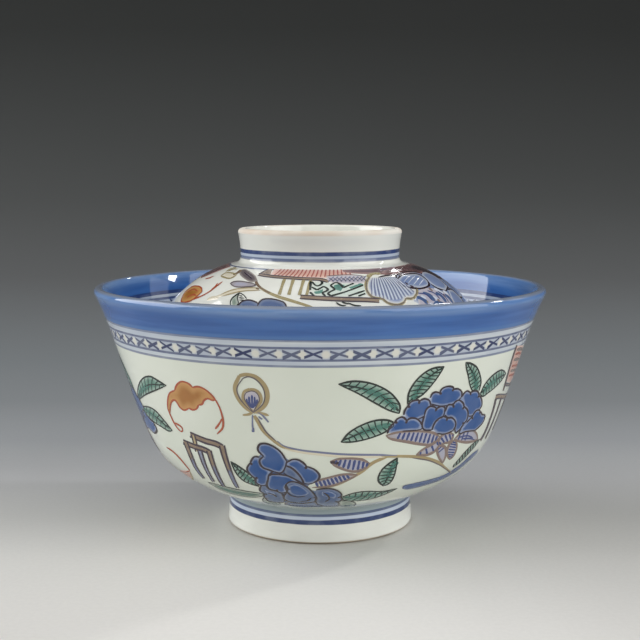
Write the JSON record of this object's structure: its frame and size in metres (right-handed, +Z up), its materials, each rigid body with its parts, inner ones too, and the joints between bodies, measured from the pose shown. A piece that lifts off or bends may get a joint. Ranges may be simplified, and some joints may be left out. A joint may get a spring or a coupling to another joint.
{
  "type": "lidded bowl",
  "caption": "Round porcelain bowl with a flared wall and a foot ring, closed by a domed lid with a ring on top that drops inside the mouth and lifts off.",
  "frame": {"origin": "centre of the foot ring's lower face, on the table", "axes": "+Z up along the axis of turning, -Y towards the side that the picture shows"},
  "size_m": [0.1154, 0.1154, 0.0767],
  "materials": {
    "bowl_porcelain": "glossy clear glaze over white porcelain with painted decoration",
    "lid_porcelain": "glossy clear glaze over white porcelain with painted decoration"
  },
  "bodies": {
    "bowl": {"bowl": "bowl_porcelain"},
    "lid": {"lid": "lid_porcelain"}
  },
  "joints": [
    {"name": "lid_lift", "type": "slide", "parent": "bowl", "child": "lid", "axis": [0, 0, 1], "range_m": [0, 0.06]}
  ]
}
